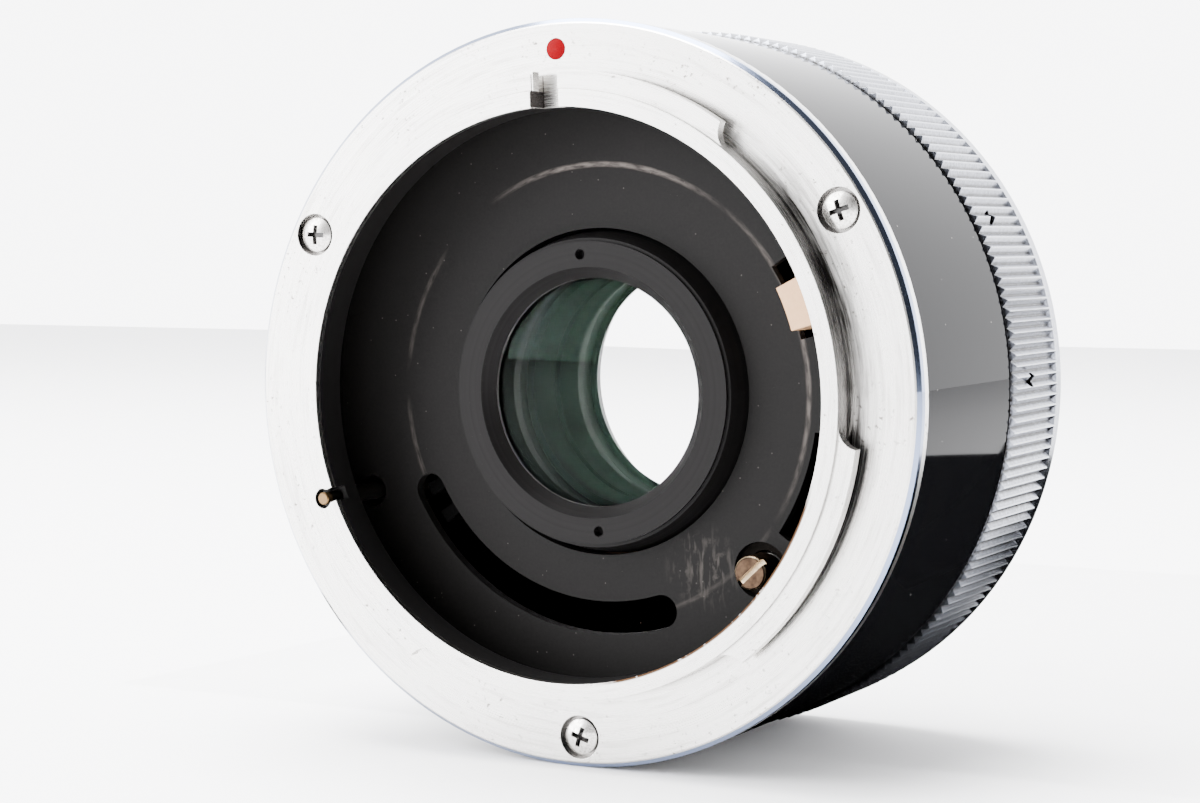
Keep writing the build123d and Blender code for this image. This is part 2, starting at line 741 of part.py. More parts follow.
def ridged_band():
    """Prism of straight V ridges, trimmed by the chamfered outline of the ring."""
    points = []
    for i in range(ridge_count):
        for step, radius in ((0, ridge_crest_r), (0.5, ridge_root_r)):
            a = radians(360 * (i + step) / ridge_count)
            points.append((radius * sin(a), radius * cos(a)))
    plane = Plane(origin=(0, ring_front_y, 0), x_dir=(1, 0, 0), z_dir=(0, 1, 0))
    star = extrude(plane * make_face(Polyline(*points, close=True)), ridge_rear_y - ring_front_y)
    envelope = turned(
        (0, ring_front_y), (ridge_crest_r - ridge_chamfer, ring_front_y),
        (ridge_crest_r, ring_front_y + ridge_chamfer), (ridge_crest_r, ridge_rear_y), (0, ridge_rear_y))
    return star & envelope


def breech_ring():
    web_y = neck_rear_y - web_end_gap
    core_r = ridge_root_r - ridge_chamfer
    runout_y = ridge_rear_y - ridge_runout
    core = turned(
        (ring_bore_r, ring_front_y + ridge_chamfer), (core_r, ring_front_y + ridge_chamfer),
        (core_r, runout_y - ridge_chamfer), (rim_r, ridge_rear_y),
        (rim_r, rim_rear_y), (ring_bore_r, rim_rear_y))
    edge = core.edges().filter_by(GeomType.CIRCLE).sort_by(lambda e: e.radius + e.center().Y)[-1]
    body = fillet(edge, rim_fillet) + ridged_band()
    body -= turned(
        (0, ring_front_y - overrun), (ring_bore_r, ring_front_y - overrun), (ring_bore_r, web_y),
        (skirt_bore_r, web_y), (skirt_bore_r, rim_rear_y + overrun), (0, rim_rear_y + overrun))
    for a in ring_screw_angles:
        body -= radial_bar(a, ring_bore_r - overrun, ridge_crest_r + overrun, ring_screw_r)
    body -= rod(rear_dot_circle_r, 0, rim_rear_y - index_dot_depth, rim_rear_y + overrun, index_dot_r)
    return body


def radial_bar(angle, r0, r1, radius):
    a = radians(angle)
    plane = Plane(origin=(r0 * sin(a), ring_screw_y, r0 * cos(a)), x_dir=(0, 1, 0), z_dir=(sin(a), 0, cos(a)))
    return plane * Cylinder(radius, r1 - r0, align=(Align.CENTER, Align.CENTER, Align.MIN))


def ring_screw(angle):
    """Slotted screw whose head is sunk below the ridges and whose tip runs in the neck."""
    top_r = ridge_root_r - ring_screw_head_sink
    screw = radial_bar(angle, neck_r - ring_screw_bite, top_r, ring_screw_r)
    a = radians(angle)
    plane = Plane(origin=(top_r * sin(a), ring_screw_y, top_r * cos(a)), x_dir=(0, 1, 0),
                  z_dir=(sin(a), 0, cos(a)))
    slot = Box(3 * ring_screw_r, ring_screw_slot, ring_screw_head_sink)
    return screw - plane * Rot(0, 0, ring_screw_slot_angle) * slot


def ring_screws():
    return [ring_screw(a) for a in ring_screw_angles]


def rear_index_dot():
    return rod(rear_dot_circle_r, 0, rim_rear_y - index_dot_depth, rim_rear_y, index_dot_r)


def claw_ring():
    ring = tube(claw_base_r, skirt_bore_r, claw_front_y, claw_rear_y)
    for a0, a1 in claw_angles:
        ring += sector(claw_tip_r, claw_base_r, claw_rear_y - claw_thickness, claw_rear_y, a0, a1)
    return ring


def rear_mount():
    ledge_r = spigot_bore_r - rear_ledge_wall
    body = turned(
        (ledge_r, neck_rear_y), (rear_flange_r, neck_rear_y), (rear_flange_r, rear_flange_y),
        (seat_ring_r, rear_flange_y), (seat_ring_r, rear_seat_y), (spigot_r, rear_seat_y),
        (spigot_r, spigot_rear_y - spigot_chamfer), (spigot_r - spigot_chamfer, spigot_rear_y),
        (spigot_bore_r, spigot_rear_y), (spigot_bore_r, rear_baffle_y), (ledge_r, rear_baffle_y))
    body -= rod(key_pin_r, 0, rear_flange_y - positioning_pin_depth, rear_flange_y + overrun,
                positioning_pin_r)
    for a in rear_screw_angles:
        body -= rod(rear_screw_circle_r, a, neck_rear_y - overrun, rear_flange_y + overrun, small_screw_shank_r)
        body -= rod(rear_screw_circle_r, a, rear_screw_seat_y, rear_flange_y + overrun,
                    small_screw_head_r)
    return body


def rear_mount_screws():
    length = rear_screw_seat_y - neck_rear_y + small_screw_length
    return [small_screw(rear_screw_circle_r, a, rear_screw_seat_y, length) for a in rear_screw_angles]


def positioning_pin():
    pin = rod(key_pin_r, 0, rear_flange_y - positioning_pin_depth, rear_seat_y + positioning_pin_proud,
              positioning_pin_r)
    return fillet(pin.faces().sort_by(Axis.Y)[-1].edges(), positioning_pin_r / 2)


def rear_baffle():
    y0, y1 = rear_baffle_y, rear_baffle_y + rear_baffle_thickness
    plate = tube(cell_r + fit_gap, spigot_bore_r - fit_gap, y0, y1)
    plate -= lever_slots(y0 - overrun, y1 + overrun)
    return plate - rod(plunger_circle_r, plunger_angle, y0 - overrun, y1 + overrun, rod_r + slot_gap)


def build():
    nodes = {
        "front_mount": front_mount(),
        "index_dot": index_dot(),
        "front_mount_screws": front_mount_screws(),
        "barrel": barrel(),
        "front_baffle": front_baffle(),
        "baffle_snap_ring": baffle_snap_ring(),
        "lens_cell": lens_cell(),
        "cell_screws": cell_screws(),
        "front_retaining_ring": front_retaining_ring(),
        "rear_retaining_ring": rear_retaining_ring(),
        "lens_spacer_front": lens_spacer(0, 1),
        "lens_spacer_middle": lens_spacer(2, 3),
        "lens_spacer_rear": lens_spacer(3, 4),
        "carrier_clip": carrier_clip(),
        "carrier_spacer": carrier_spacer(signal_hub_y + hub_thickness + axial_gap, stopdown_hub_y - axial_gap),
        "carrier_sleeve": carrier_spacer(stopdown_hub_y + hub_thickness + axial_gap, bulkhead_y),
        "signal_carrier": signal_carrier(),
        "signal_tab": signal_tab(),
        "signal_rear_lever": signal_rear_lever(),
        "signal_rivets": signal_rivets(),
        "signal_spring": torsion_spring(signal_hub_y + hub_thickness + torsion_gap),
        "stopdown_carrier": stopdown_carrier(),
        "stopdown_fork": stopdown_fork(),
        "stopdown_rear_lever": stopdown_rear_lever(),
        "stopdown_spring": torsion_spring(stopdown_hub_y + hub_thickness + torsion_gap),
        "signal_screw": signal_screw(),
        "signal_rod": signal_rod(),
        "plunger_bush": plunger_bush(),
        "plunger_spring": plunger_spring(),
        "lock_pin": lock_pin(),
        "lock_pin_cup": lock_pin_cup(),
        "lock_pin_spring": lock_pin_spring(),
        "breech_ring": breech_ring(),
        "ring_screws": ring_screws(),
        "rear_index_dot": rear_index_dot(),
        "claw_ring": claw_ring(),
        "rear_mount": rear_mount(),
        "rear_mount_screws": rear_mount_screws(),
        "positioning_pin": positioning_pin(),
        "rear_baffle": rear_baffle(),
    }
    for i in range(len(glass_steps)):
        nodes[f"lens_element_{i + 1}"] = lens(i)
    return nodes


os.makedirs(out, exist_ok=True)
for name, shape in build().items():
    if isinstance(shape, list):
        shape = Compound(children=shape)
    export_step(shape, f"{out}/{name}.step")
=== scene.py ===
import math

import bpy
from mathutils import Matrix, Vector

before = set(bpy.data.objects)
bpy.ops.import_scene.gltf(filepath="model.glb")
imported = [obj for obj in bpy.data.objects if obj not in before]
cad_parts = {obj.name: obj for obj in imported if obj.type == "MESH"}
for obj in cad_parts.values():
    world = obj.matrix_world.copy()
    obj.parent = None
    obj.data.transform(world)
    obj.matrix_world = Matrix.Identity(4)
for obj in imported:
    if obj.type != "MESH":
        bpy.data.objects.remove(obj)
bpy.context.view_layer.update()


# Lens-side mount ring. Brass, turned and milled, then plated with satin chrome. Three screws
# hold it to the barrel. The throat wall is painted matt black behind a bare strip at its front
# edge, and the plating has worn brown along part of that edge.
mm = 0.001
hairline = 0.05 * mm
throat_r = 24.0 * mm
seat_ring_r = 25.4 * mm
bevel_r = 31.05 * mm
flange_face_y = 2.25 * mm
flange_rear_y = 3.8 * mm
bevel_rear_y = 3.25 * mm
bare_strip = 0.7 * mm
lock_pin_place = Vector((-23.744, 0, -8.736)) * mm
pin_paint_r = 1.8 * mm
turning_mark = 0.12 * mm
turning_depth = 0.02 * mm
streak_width = 0.35 * mm
streaks_per_radian = 6
pit_size = 0.35 * mm
pit_patch_size = 5 * mm
edge_round = 0.06 * mm
corner_reach = 0.7 * mm
worn_edge = 0.22 * mm
worn_blotch = 0.8 * mm
worn_from, worn_to, worn_fade = math.radians(112), math.radians(168), 0.1
channel_width = 3.2 * mm
channel_from, channel_to, channel_fade = math.radians(54), math.radians(108), 0.4
notch_reach = 2.8 * mm
notch_wall_x = -1.33 * mm


def linear(hex_colour):
    """sRGB hex colour as the linear values that shaders use."""
    channels = [int(hex_colour[i:i + 2], 16) / 255 for i in (1, 3, 5)]
    return [c / 12.92 if c <= 0.04045 else ((c + 0.055) / 1.055) ** 2.4 for c in channels] + [1.0]


def add(tree, kind, links=None, **settings):
    """Adds a shader node with its properties and sockets, and gives back its first output in use."""
    node = tree.nodes.new("ShaderNode" + kind)
    for name, value in settings.items():
        setattr(node, name, value)
    for socket, value in (links or {}).items():
        if isinstance(value, bpy.types.NodeSocket):
            tree.links.new(value, node.inputs[socket])
        else:
            node.inputs[socket].default_value = value
    return next((output for output in node.outputs if output.enabled), None)


def surface(name):
    """New empty node material, with its tree and the piece's own coordinates in metres."""
    material = bpy.data.materials.new(name)
    material.use_nodes = True
    tree = material.node_tree
    tree.nodes.clear()
    return material, tree, add(tree, "TexCoord").node.outputs["Object"]


def turned_coordinates(tree, position):
    """Radius from the optical axis, place along it and angle from the top."""
    x, along, z = add(tree, "SeparateXYZ", {0: position}).node.outputs
    flat = add(tree, "CombineXYZ", {0: x, 1: z})
    radius = add(tree, "VectorMath", {0: flat}, operation="LENGTH")
    return radius, along, add(tree, "Math", {0: x, 1: z}, operation="ARCTAN2")


def between(tree, value, start, end, soft):
    """One where the value lies between start and end, falling to zero over the soft width."""
    rise = add(tree, "MapRange", {0: value, 1: start - soft, 2: start})
    fall = add(tree, "MapRange", {0: value, 1: end, 2: end + soft, 3: 1.0, 4: 0.0})
    return add(tree, "Math", {0: rise, 1: fall}, operation="MULTIPLY")


def dress(node_name, material):
    """Gives a piece of the frame its material."""
    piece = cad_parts[node_name]
    piece.data.materials.clear()
    piece.data.materials.append(material)


def satin_chrome_on_brass():
    """Turning marks ring the axis, with grey pits and a worn brown edge. Painted shade in swept fans,
    corners and a notch wall; painted reflections in the lug channel and on the bevel.
    """
    material, tree, position = surface("satin_chrome_on_brass")
    radius, along, angle = turned_coordinates(tree, position)
    turned = add(tree, "CombineXYZ", {0: radius, 1: along})
    marks = add(tree, "TexNoise", {"Vector": turned, "Scale": 1 / turning_mark, "Detail": 2.0})
    # Painted shade: darker fans swept round the axis, standing in for the brushed sheen.
    arc = add(tree, "Math", {0: angle, 1: streaks_per_radian * streak_width}, operation="MULTIPLY")
    swept = add(tree, "CombineXYZ", {0: radius, 1: along, 2: arc})
    streaks = add(tree, "TexNoise", {"Vector": swept, "Scale": 1 / streak_width, "Detail": 3.0})
    painted_fan_shade = add(tree, "MapRange", {0: streaks, 1: 0.52, 2: 0.72, 4: 0.55})

    pits = add(tree, "TexNoise", {"Vector": position, "Scale": 1 / pit_size, "Detail": 4.0})
    pits = add(tree, "MapRange", {0: pits, 1: 0.62, 2: 0.7})
    patches = add(tree, "TexNoise", {"Vector": position, "Scale": 1 / pit_patch_size, "Detail": 2.0})
    patches = add(tree, "MapRange", {0: patches, 1: 0.42, 2: 0.62})
    pitted = add(tree, "Math", {0: pits, 1: patches}, operation="MULTIPLY")
    # Painted shade: darker where nearby surfaces hem a point in, in corners and at the feet of steps.
    corner_shade = add(tree, "AmbientOcclusion", {"Distance": corner_reach}, samples=6)
    corner_shade = add(tree, "MapRange", {0: corner_shade, 1: 0.35, 2: 0.8, 3: 0.75, 4: 0.0})

    past_throat = add(tree, "Math", {0: radius, 1: throat_r}, operation="SUBTRACT")
    worn = add(tree, "MapRange", {0: past_throat, 1: worn_edge / 2, 2: worn_edge, 3: 1.0, 4: 0.0})
    blotches = add(tree, "TexNoise", {"Vector": position, "Scale": 1 / worn_blotch, "Detail": 3.0})
    blotches = add(tree, "MapRange", {0: blotches, 1: 0.2, 2: 0.4})
    for mask in (between(tree, angle, worn_from, worn_to, worn_fade), blotches):
        worn = add(tree, "Math", {0: worn, 1: mask}, operation="MULTIPLY")

    # Painted dark reflection: a dark band on the flange face in the lug channel, broken up by the swept
    # streaks.
    channel_reflection = add(tree, "MapRange", {
        0: radius, 1: seat_ring_r + 0.2 * channel_width, 2: seat_ring_r + channel_width, 3: 1.0, 4: 0.0})
    on_face = add(tree, "MapRange", {0: along, 1: flange_face_y - 0.3 * mm, 2: flange_face_y - 0.1 * mm})
    past_ring = add(tree, "MapRange", {0: radius, 1: seat_ring_r - 2 * hairline, 2: seat_ring_r - hairline})
    channel_breakup = add(tree, "MapRange", {0: streaks, 1: 0.35, 2: 0.6, 3: 0.6})
    for mask in (on_face, past_ring, between(tree, angle, channel_from, channel_to, channel_fade), channel_breakup):
        channel_reflection = add(tree, "Math", {0: channel_reflection, 1: mask}, operation="MULTIPLY")

    # Painted shade on the left wall of the positioning notch at the top.
    across = add(tree, "SeparateXYZ", {0: position})
    notch_wall_shade = add(tree, "Math", {0: across, 1: notch_wall_x, 2: hairline}, operation="COMPARE")
    in_notch = between(tree, radius, throat_r + 0.1 * mm, throat_r + notch_reach, 0.01 * mm)
    near_top = add(tree, "MapRange", {0: angle, 1: -0.2, 2: -0.1})
    left_of_top = add(tree, "MapRange", {0: angle, 1: 0.0, 2: 0.01, 3: 1.0, 4: 0.0})
    for mask in (in_notch, near_top, left_of_top):
        notch_wall_shade = add(tree, "Math", {0: notch_wall_shade, 1: mask}, operation="MULTIPLY")

    # Painted reflection: a bluish grey tint on the outer bevel, which also gets less roughness.
    bevel = add(tree, "MapRange", {0: radius, 1: bevel_r - 0.02 * mm, 2: bevel_r + 0.04 * mm})
    in_front = add(tree, "MapRange", {0: along, 1: bevel_rear_y, 2: bevel_rear_y + 0.1 * mm, 3: 1.0, 4: 0.0})
    bevel = add(tree, "Math", {0: bevel, 1: in_front}, operation="MULTIPLY")

    tint = linear("#cfcdca")
    for mask, colour in ((painted_fan_shade, "#a6a3a0"), (pitted, "#6f6b67"), (corner_shade, "#4d4946"), (worn, "#3d2b1d"),
                         (channel_reflection, "#1f1d1c"), (notch_wall_shade, "#2a2523"), (bevel, "#76819a")):
        tint = add(tree, "Mix", {"Factor": mask, 6: tint, 7: linear(colour)}, data_type="RGBA")
    sheen = add(tree, "MapRange", {0: marks, 1: 0.3, 2: 0.7, 3: 0.2, 4: 0.34})
    polish = add(tree, "MapRange", {0: bevel, 3: 1.0, 4: 0.5})
    softened = add(tree, "Bevel", {"Radius": edge_round}, samples=4)
    chrome = add(tree, "BsdfPrincipled", {
        "Base Color": tint, "Metallic": 1.0,
        "Roughness": add(tree, "Math", {0: sheen, 1: polish}, operation="MULTIPLY"),
        "Anisotropic": 0.5, "Tangent": add(tree, "Tangent", direction_type="RADIAL", axis="Y"),
        "Normal": add(tree, "Bump", {"Height": marks, "Strength": 0.15, "Distance": turning_depth,
                                     "Normal": softened})})

    paint = add(tree, "BsdfPrincipled", {"Base Color": linear("#0c0b0b"), "Roughness": 0.5,
                                         "Specular IOR Level": 0.15})
    on_wall = add(tree, "Math", {0: radius, 1: throat_r + hairline}, operation="LESS_THAN")
    to_pin = add(tree, "VectorMath", {0: position, 1: (1.0, 0.0, 1.0)}, operation="MULTIPLY")
    to_pin = add(tree, "VectorMath", {0: to_pin, 1: lock_pin_place}, operation="DISTANCE")
    by_pin = add(tree, "Math", {0: to_pin, 1: pin_paint_r}, operation="LESS_THAN")
    in_flange = add(tree, "Math", {0: along, 1: flange_rear_y}, operation="LESS_THAN")
    by_pin = add(tree, "Math", {0: by_pin, 1: in_flange}, operation="MULTIPLY")
    painted = add(tree, "Math", {0: on_wall, 1: by_pin}, operation="MAXIMUM")
    past_strip = add(tree, "Math", {0: along, 1: bare_strip}, operation="GREATER_THAN")
    painted = add(tree, "Math", {0: painted, 1: past_strip}, operation="MULTIPLY")
    add(tree, "OutputMaterial", {"Surface": add(tree, "MixShader", {0: painted, 1: chrome, 2: paint})})
    return material


mount_chrome = satin_chrome_on_brass()
dress("front_mount", mount_chrome)


# Index dots. Red enamel, dropped into drilled holes of the flange and of the ring's rim and left
# to harden. It gives a full red with hardly any shine.
grain_depth = 0.01 * mm
gloss_spread = 0.1


def plain_finish(name, colour, second, roughness, metallic=0.0, grain=0.3 * mm, gloss=0.5, ior=1.5):
    """Even finish whose fine grain varies its gloss and colour a little."""
    material, tree, position = surface(name)
    grains = add(tree, "TexNoise", {"Vector": position, "Scale": 1 / grain, "Detail": 4.0})
    tint = add(tree, "Mix", {"Factor": grains, 6: linear(colour), 7: linear(second)}, data_type="RGBA")
    sheen = add(tree, "MapRange", {0: grains, 1: 0.3, 2: 0.7, 3: roughness - gloss_spread / 2,
                                   4: roughness + gloss_spread / 2})
    shader = add(tree, "BsdfPrincipled", {
        "Base Color": tint, "Metallic": metallic, "IOR": ior,
        "Roughness": sheen, "Specular IOR Level": gloss,
        "Normal": add(tree, "Bump", {"Height": grains, "Strength": 0.3, "Distance": grain_depth})})
    add(tree, "OutputMaterial", {"Surface": shader})
    return material


red_enamel = plain_finish("red_enamel", "#6e0008", "#60000a", 0.3, grain=0.4 * mm, gloss=0.02)
for name in ("index_dot", "rear_index_dot"):
    dress(name, red_enamel)


# Screws. Steel, cold headed, polished and nickel plated. Painted shade darkens the cross recesses
# of the three large ones and the sunk sides of their heads.
recess_start_y = 2.5 * mm
recess_floor_y = 2.65 * mm
scratch_size = 0.15 * mm


def polished_screw_steel():
    """Bright heads with fine scratches, and painted shade down in the recess."""
    material, tree, position = surface("polished_screw_steel")
    along = turned_coordinates(tree, position)[1]
    scratches = add(tree, "TexNoise", {"Vector": position, "Scale": 1 / scratch_size, "Detail": 4.0})
    scratched = add(tree, "MapRange", {0: scratches, 1: 0.4, 2: 0.7})
    # Painted shade: darker and less metallic from the recess's start downwards.
    recess_shade = add(tree, "MapRange", {0: along, 1: recess_start_y, 2: recess_floor_y})
    tint = linear("#dcd9d5")
    for mask, colour in ((scratched, "#a09c97"), (recess_shade, "#171412")):
        tint = add(tree, "Mix", {"Factor": mask, 6: tint, 7: linear(colour)}, data_type="RGBA")
    shader = add(tree, "BsdfPrincipled", {
        "Base Color": tint, "Metallic": add(tree, "MapRange", {0: recess_shade, 3: 1.0, 4: 0.2}),
        "Roughness": add(tree, "MapRange", {0: scratches, 1: 0.3, 2: 0.7, 3: 0.12, 4: 0.3}),
        "Normal": add(tree, "Bump", {"Height": scratches, "Strength": 0.3, "Distance": grain_depth})})
    add(tree, "OutputMaterial", {"Surface": shader})
    return material


dress("front_mount_screws", polished_screw_steel())
plain_steel = plain_finish("nickel_plated_steel", "#b9b5ae", "#8f8b84", 0.25, metallic=1.0, grain=0.2 * mm)
for name in ("cell_screws", "rear_mount_screws", "positioning_pin"):
    dress(name, plain_steel)


# Barrel. Aluminium, turned in one piece with its rear neck and sprayed with gloss black enamel.
# The enamel mirrors the white tent in a soft grey sheet.
enamel_ior = 1.085
ripple_size, ripple_depth = 3.0 * mm, 0.001 * mm
dust_spacing = 2.2 * mm
wipe_width, wipe_stretch, wipe_patch_size = 0.4 * mm, 3 * mm, 6 * mm


def gloss_black_enamel():
    """Deep black mirror with a slight ripple, a few pale specks of dust and faint wiping marks."""
    material, tree, position = surface("gloss_black_enamel")
    _, along, angle = turned_coordinates(tree, position)
    ripple = add(tree, "TexNoise", {"Vector": position, "Scale": 1 / ripple_size, "Detail": 2.0})
    dust = add(tree, "TexVoronoi", {"Vector": position, "Scale": 1 / dust_spacing})
    dust = add(tree, "MapRange", {0: dust, 1: 0.02, 2: 0.035, 3: 1.0, 4: 0.0})
    arc = add(tree, "Math", {0: angle, 1: wipe_stretch}, operation="MULTIPLY")
    swept = add(tree, "CombineXYZ", {0: arc, 1: along})
    wipes = add(tree, "TexNoise", {"Vector": swept, "Scale": 1 / wipe_width, "Detail": 4.0})
    wiped = add(tree, "MapRange", {0: wipes, 1: 0.58, 2: 0.7})
    patches = add(tree, "TexNoise", {"Vector": position, "Scale": 1 / wipe_patch_size, "Detail": 3.0})
    patches = add(tree, "MapRange", {0: patches, 1: 0.5, 2: 0.65})
    dull = add(tree, "Math", {0: wiped, 1: patches}, operation="MULTIPLY")
    tint = linear("#050506")
    for mask, colour in ((add(tree, "MapRange", {0: wipes, 1: 0.3, 2: 0.7}), "#070708"), (dust, "#8a8784")):
        tint = add(tree, "Mix", {"Factor": mask, 6: tint, 7: linear(colour)}, data_type="RGBA")
    wiped_sheen = add(tree, "MapRange", {0: dull, 3: 0.05, 4: 0.2})
    dusty_sheen = add(tree, "MapRange", {0: dust, 4: 0.5})
    enamel = add(tree, "BsdfPrincipled", {
        "Base Color": tint, "IOR": enamel_ior,
        "Roughness": add(tree, "Math", {0: wiped_sheen, 1: dusty_sheen}, operation="ADD"),
        "Normal": add(tree, "Bump", {"Height": ripple, "Strength": 0.3, "Distance": ripple_depth})})
    add(tree, "OutputMaterial", {"Surface": enamel})
    return material


dress("barrel", gloss_black_enamel())


# Baffles. Sheet aluminium, punched and painted matt black. The lens's parts have rubbed a broken
# pale circle in the front one, and a greyish scuff beside the arc slot and the plunger.
paint_grain, paint_depth = 0.25 * mm, 0.02 * mm
rub_circle_r = 19.47 * mm
rub_width, rub_stretch, rub_patch_size = 0.3 * mm, 4 * mm, 7 * mm
rubbed_arcs = ((math.radians(4), math.radians(24), 0.8), (math.radians(80), math.radians(30), 0.6))
scuff_place = Vector((9.5, 8.0, -15.0)) * mm
scuff_size = 4.0 * mm
scuff_strokes = ((1500, 0, 300), (1100, 0, 900), (2200, 0, 500))
speck_spacing = 1.3 * mm


def rubbed_matt_black():
    """Dull black with a fine grain of paint, lighter where it is rubbed."""
    material, tree, position = surface("rubbed_matt_black")
    radius, along, angle = turned_coordinates(tree, position)
    grains = add(tree, "TexNoise", {"Vector": position, "Scale": 1 / paint_grain, "Detail": 4.0})
    arc = add(tree, "Math", {0: angle, 1: rub_stretch}, operation="MULTIPLY")
    swept = add(tree, "CombineXYZ", {0: radius, 1: along, 2: arc})
    scratches = add(tree, "TexNoise", {"Vector": swept, "Scale": 1 / paint_grain, "Detail": 4.0})

    offset = add(tree, "Math", {0: radius, 1: rub_circle_r}, operation="SUBTRACT")
    offset = add(tree, "Math", {0: offset}, operation="ABSOLUTE")
    rub = add(tree, "MapRange", {0: offset, 1: 0.25 * rub_width, 2: rub_width, 3: 1.0, 4: 0.0})
    strength = add(tree, "TexNoise", {"Vector": position, "Scale": 1 / rub_patch_size, "Detail": 2.0})
    strength = add(tree, "MapRange", {0: strength, 1: 0.45, 2: 0.6, 4: 0.22})
    for middle, width, most in rubbed_arcs:
        rubbed = between(tree, angle, middle - width / 2, middle + width / 2, width)
        rubbed = add(tree, "Math", {0: rubbed, 1: most}, operation="MULTIPLY")
        strength = add(tree, "Math", {0: strength, 1: rubbed}, operation="MAXIMUM")
    scratched = add(tree, "MapRange", {0: scratches, 1: 0.35, 2: 0.6, 3: 0.2})
    for mask in (strength, scratched):
        rub = add(tree, "Math", {0: rub, 1: mask}, operation="MULTIPLY")

    distance = add(tree, "VectorMath", {0: position, 1: scuff_place}, operation="DISTANCE")
    scuff = add(tree, "MapRange", {0: distance, 1: 0.3 * scuff_size, 2: scuff_size, 3: 0.6, 4: 0.0})
    strokes = 0.0
    for stretch in scuff_strokes:
        stroke = add(tree, "VectorMath", {0: position, 1: stretch}, operation="MULTIPLY")
        stroke = add(tree, "TexNoise", {"Vector": stroke, "Scale": 1.0, "Detail": 6.0})
        stroke = add(tree, "MapRange", {0: stroke, 1: 0.56, 2: 0.68})
        strokes = add(tree, "Math", {0: strokes, 1: stroke}, operation="MAXIMUM")
    scuff = add(tree, "Math", {0: scuff, 1: strokes}, operation="MULTIPLY")
    dust = add(tree, "TexVoronoi", {"Vector": position, "Scale": 1 / speck_spacing})
    dust = add(tree, "MapRange", {0: dust, 1: 0.03, 2: 0.06, 3: 0.6, 4: 0.0})

    tint = linear("#050404")
    for mask, colour in ((add(tree, "MapRange", {0: grains, 1: 0.3, 2: 0.7}), "#0a0908"), (rub, "#5a5450"),
                         (scuff, "#3f3b38"), (dust, "#4a4643")):
        tint = add(tree, "Mix", {"Factor": mask, 6: tint, 7: linear(colour)}, data_type="RGBA")
    shader = add(tree, "BsdfPrincipled", {
        "Base Color": tint, "Roughness": 0.6, "Specular IOR Level": 0.1,
        "Normal": add(tree, "Bump", {"Height": grains, "Strength": 0.4, "Distance": paint_depth})})
    add(tree, "OutputMaterial", {"Surface": shader})
    return material


dress("front_baffle", rubbed_matt_black())
dress("rear_baffle", plain_finish("matt_black_paint", "#050404", "#0a0908", 0.6, gloss=0.1))


# Lens cell, its rings, spacers and sleeves. Aluminium, turned and anodised black: dull, with
# faint turning lines. The spacers between the elements are blackened dead matt, so that they
# throw no light into the glass.
turned_line, line_depth = 0.3 * mm, 0.02 * mm
cell_dust_size = 0.3 * mm


def black_anodised_aluminium():
    """Near-black with fine turning lines and a little dust."""
    material, tree, position = surface("black_anodised_aluminium")
    radius, along, _ = turned_coordinates(tree, position)
    turned = add(tree, "CombineXYZ", {0: radius, 1: along})
    lines = add(tree, "TexNoise", {"Vector": turned, "Scale": 1 / turned_line, "Detail": 2.0})
    dust = add(tree, "TexNoise", {"Vector": position, "Scale": 1 / cell_dust_size, "Detail": 4.0})
    dust = add(tree, "MapRange", {0: dust, 1: 0.64, 2: 0.72, 4: 0.5})
    tint = linear("#0c0b0b")
    for mask, colour in ((add(tree, "MapRange", {0: lines, 1: 0.3, 2: 0.7}), "#131212"), (dust, "#1c1a19")):
        tint = add(tree, "Mix", {"Factor": mask, 6: tint, 7: linear(colour)}, data_type="RGBA")
    shader = add(tree, "BsdfPrincipled", {
        "Base Color": tint, "IOR": 1.2, "Specular IOR Level": 0.3,
        "Roughness": add(tree, "MapRange", {0: lines, 1: 0.3, 2: 0.7, 3: 0.42, 4: 0.55}),
        "Normal": add(tree, "Bump", {"Height": lines, "Strength": 0.2, "Distance": line_depth})})
    add(tree, "OutputMaterial", {"Surface": shader})
    return material


black_anodised = black_anodised_aluminium()
for name in ("lens_cell", "front_retaining_ring", "rear_retaining_ring", "carrier_spacer", "carrier_sleeve"):
    dress(name, black_anodised)
spacer_black = plain_finish("matt_blackened_spacer", "#030303", "#050505", 0.8, gloss=0.02, ior=1.1)
for name in ("lens_spacer_front", "lens_spacer_middle", "lens_spacer_rear"):
    dress(name, spacer_black)


# Glass. Ground and polished optical glass in six elements, with two pairs cemented. A thin
# anti-reflection coating takes away most of the shine and leaves a dark green glint. The edge of
# each element is ground and painted black, so no light leaks in from the side.
glass_r = 11.3 * mm
clear_r = 10.6 * mm
edge_margin = 0.03 * mm
face_margin = 0.02 * mm
coated_ior = 1.4
cemented_faces = ((14.55 * mm, 15.45 * mm), (28.55 * mm, 29.25 * mm))
curved_faces = ((7.0, 7.6), (8.9, 9.4), (12.8, 12.2), (17.6, 17.0), (20.396, 20.996), (21.996, 22.596),
                (26.8, 26.0), (31.5, 31.0))


